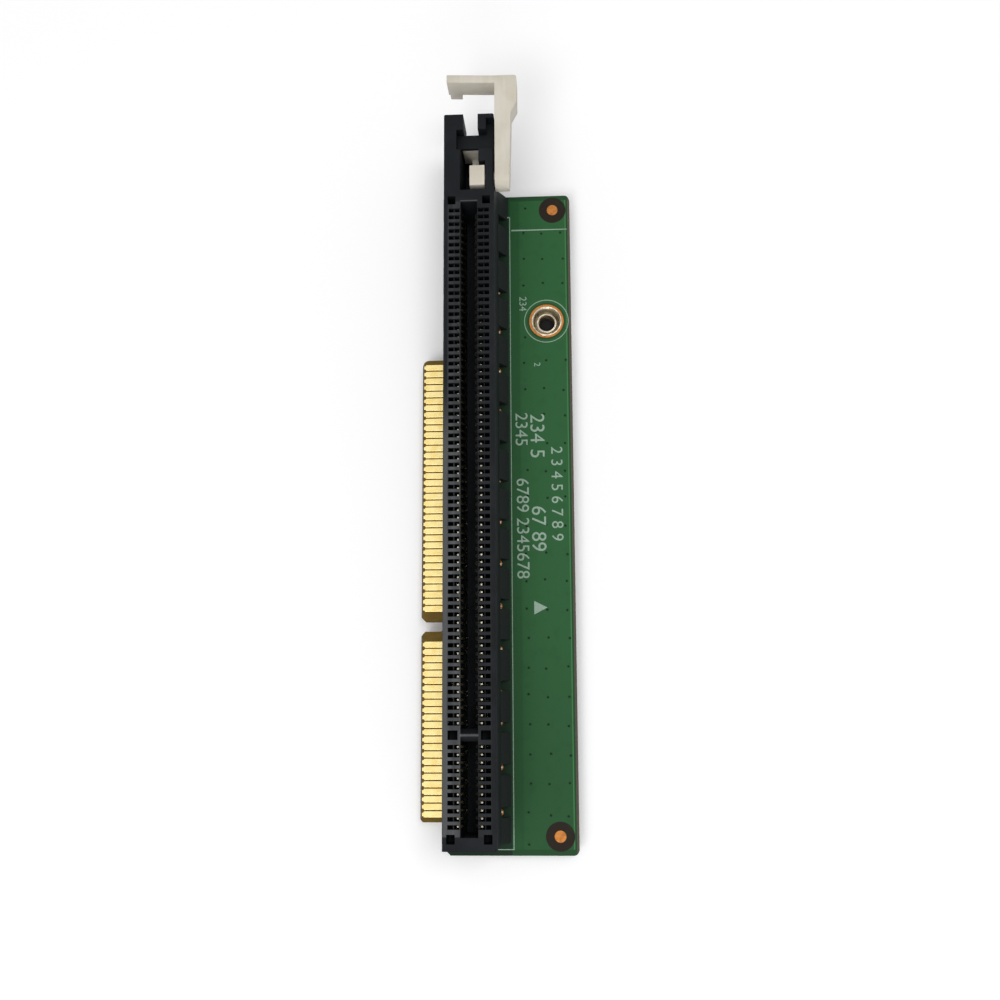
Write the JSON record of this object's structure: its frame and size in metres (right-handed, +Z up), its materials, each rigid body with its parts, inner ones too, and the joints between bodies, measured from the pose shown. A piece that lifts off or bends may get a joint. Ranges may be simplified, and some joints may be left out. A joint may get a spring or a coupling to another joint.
{
  "type": "pcie riser card",
  "caption": "Riser card: a board with a notched gold-finger tongue, a long black card slot along it, an ivory end latch that tips to release the card, and a threaded standoff.",
  "frame": {"origin": "under the middle of the whole part, on the surface that the contact tails and the standoff rest on", "axes": "+Z up, out of the card slot's mouth; +Y along the slot, from the short contact group towards the latch; +X from the gold fingers towards the standoff's edge of the board"},
  "size_m": [0.0216, 0.1078, 0.0147],
  "materials": {
    "board_laminate": "green solder mask over brown glass laminate",
    "gold_plating": "hard gold plating, satin",
    "black_nylon": "moulded black, fine matt grain",
    "contact_metal": "plated copper alloy",
    "ivory_plastic": "moulded ivory, smooth satin",
    "plated_steel": "tin plated, turned",
    "solder": "bright reflowed solder",
    "copper": "bare copper, satin"
  },
  "bodies": {
    "board_assembly": {"circuit_board": "board_laminate", "edge_fingers_front_long": "gold_plating", "edge_fingers_front_short": "gold_plating", "edge_fingers_back_long": "gold_plating", "edge_fingers_back_short": "gold_plating", "slot_housing": "black_nylon", "contacts_left_inner": "contact_metal", "contacts_left_outer": "contact_metal", "contacts_right_inner": "contact_metal", "contacts_right_outer": "contact_metal", "threaded_standoff": "plated_steel", "standoff_solder": "solder", "standoff_pad_front": "copper", "fiducial_top": "copper", "fiducial_bottom": "copper"},
    "latch": {"retention_latch": "ivory_plastic"}
  },
  "joints": [
    {"name": "latch_tip", "type": "hinge", "parent": "board_assembly", "child": "latch", "pos_m": [-0.00313, 0.03886, 0.01295], "axis": [1, 0, 0], "range_deg": [-25, 0]}
  ]
}
